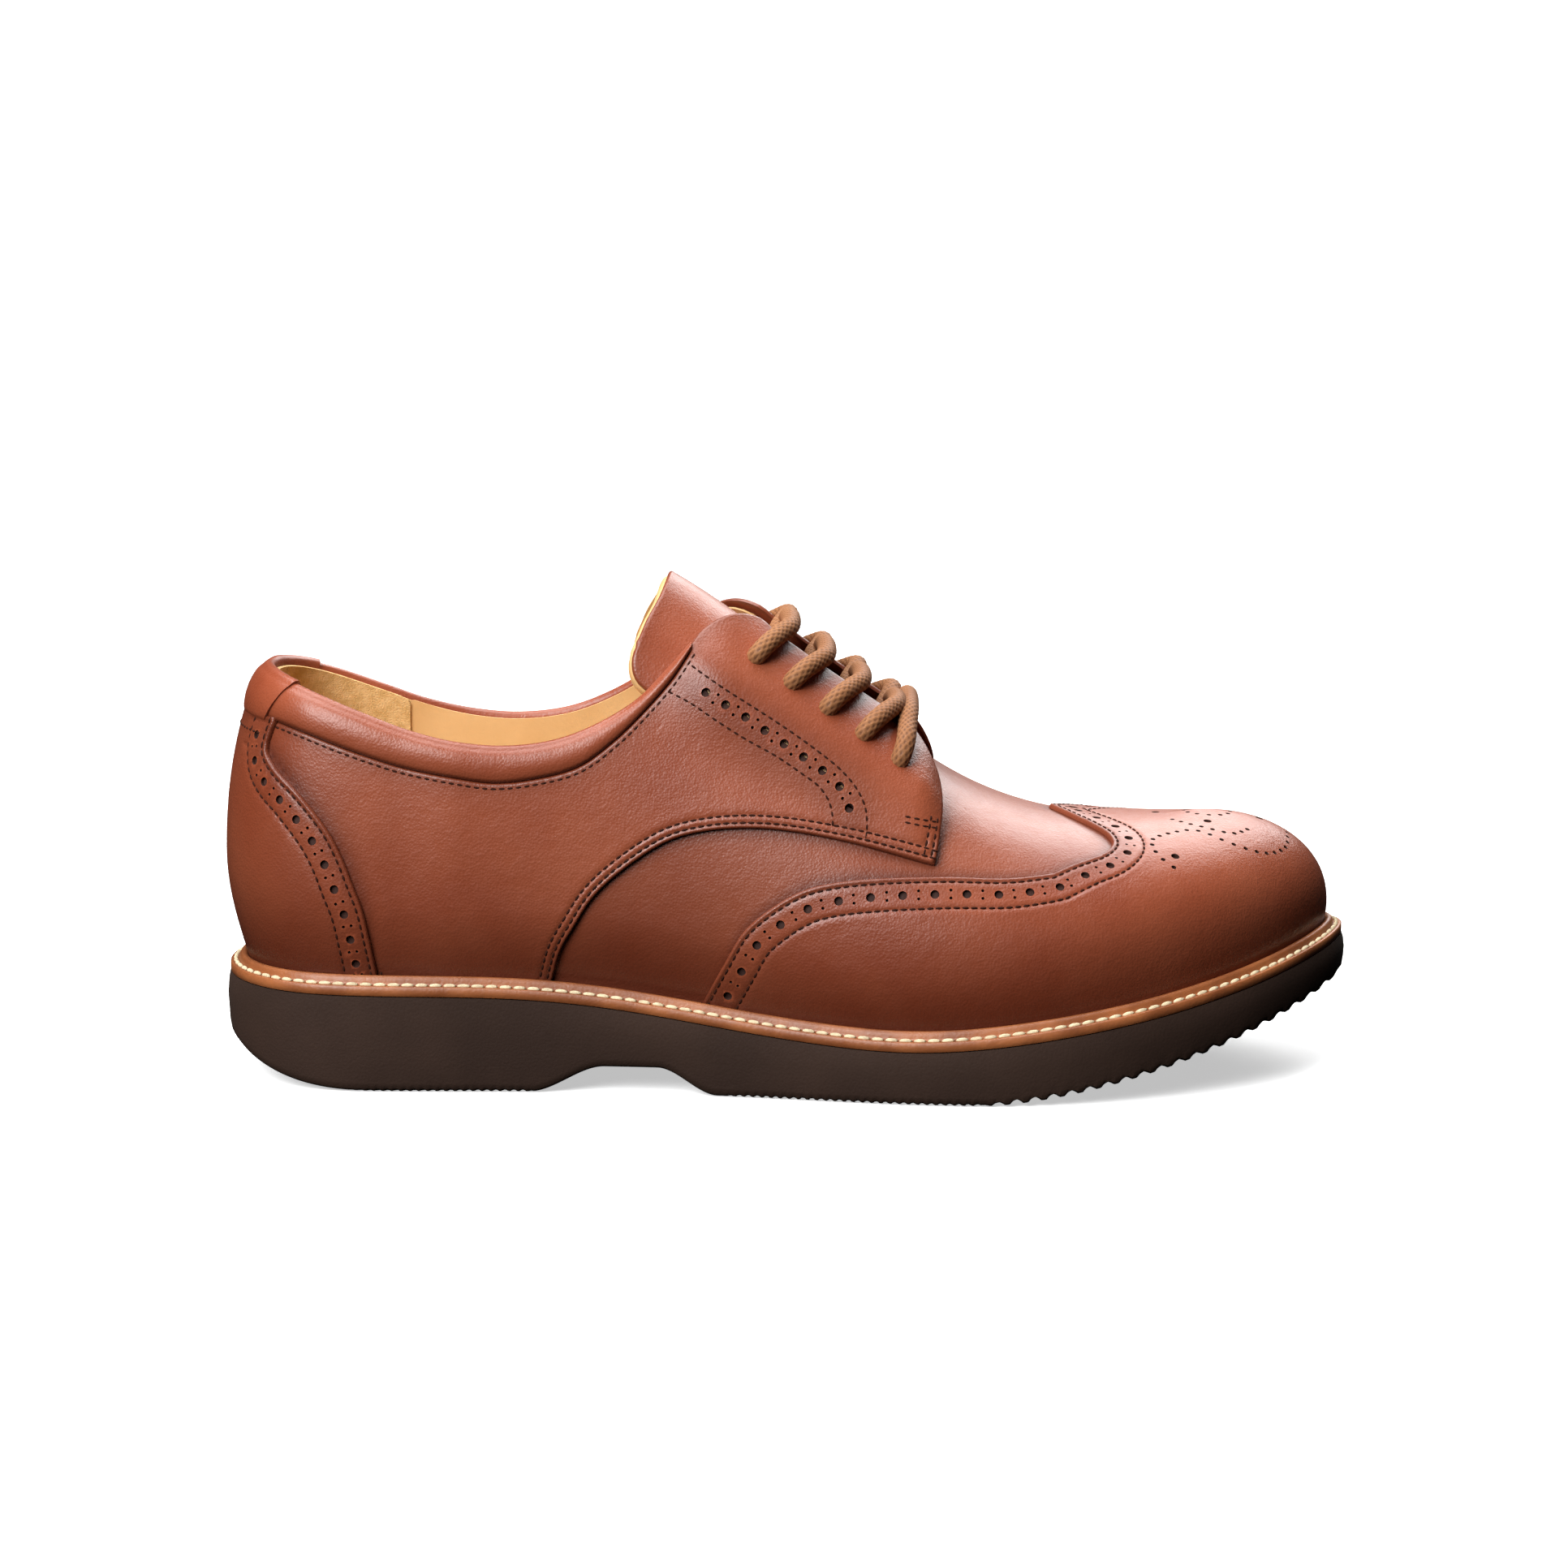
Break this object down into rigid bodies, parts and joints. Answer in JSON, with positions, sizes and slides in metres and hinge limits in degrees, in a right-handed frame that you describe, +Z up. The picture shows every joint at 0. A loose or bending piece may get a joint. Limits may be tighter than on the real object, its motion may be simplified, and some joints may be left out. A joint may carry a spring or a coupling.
{
  "type": "leather wingtip derby shoe",
  "caption": "Right-foot open-laced leather wingtip brogue with welted rubber sole, padded collar, hinged tongue and a threaded lace; worn on a foot.",
  "frame": {"origin": "centre of the footprint's bounding box, on the floor under the tread", "axes": "+X to the toe, +Y to the inner (medial) side of the foot, +Z up"},
  "size_m": [0.3064, 0.1112, 0.1346],
  "materials": {
    "leather_tan": "burnished",
    "leather_dark": "burnished",
    "lining_leather": "smooth",
    "fibreboard": "matt",
    "sole_rubber": "matt",
    "foam": "matt",
    "spring_steel": "brushed",
    "eyelet_metal": "aged",
    "thread": "waxed",
    "lace_cotton": "braided"
  },
  "bodies": {
    "shoe": {"outsole": "sole_rubber", "welt": "leather_dark", "welt_thread": "thread", "cork_filler": "fibreboard", "shank": "spring_steel", "insole_board": "fibreboard", "footbed_foam": "foam", "footbed_cover": "lining_leather", "vamp": "leather_tan", "toe_puff": "fibreboard", "heel_stiffener": "fibreboard", "wingtip": "leather_tan", "quarter_lateral": "leather_tan", "quarter_medial": "leather_tan", "heel_counter": "leather_dark", "collar_lateral": "leather_tan", "collar_medial": "leather_tan", "heel_tab": "leather_dark", "collar_foam": "foam", "heel_grip": "lining_leather", "quarter_lining_lateral": "lining_leather", "quarter_lining_medial": "lining_leather", "vamp_lining": "lining_leather", "lace": "lace_cotton", "aglet_lateral": "eyelet_metal", "aglet_medial": "eyelet_metal", "eyelet_lateral_1": "eyelet_metal", "eyelet_lateral_2": "eyelet_metal", "eyelet_lateral_3": "eyelet_metal", "eyelet_lateral_4": "eyelet_metal", "eyelet_lateral_5": "eyelet_metal", "eyelet_medial_1": "eyelet_metal", "eyelet_medial_2": "eyelet_metal", "eyelet_medial_3": "eyelet_metal", "eyelet_medial_4": "eyelet_metal", "eyelet_medial_5": "eyelet_metal"},
    "tongue": {"tongue": "leather_dark", "tongue_foam": "foam", "tongue_lining": "lining_leather"}
  },
  "joints": [
    {"name": "tongue_hinge", "type": "hinge", "parent": "shoe", "child": "tongue", "pos_m": [0.0337, 0.0023, 0.0855], "axis": [0, 1, 0], "range_deg": [-12, 0], "stiffness_Nm_per_rad": 0.6}
  ]
}
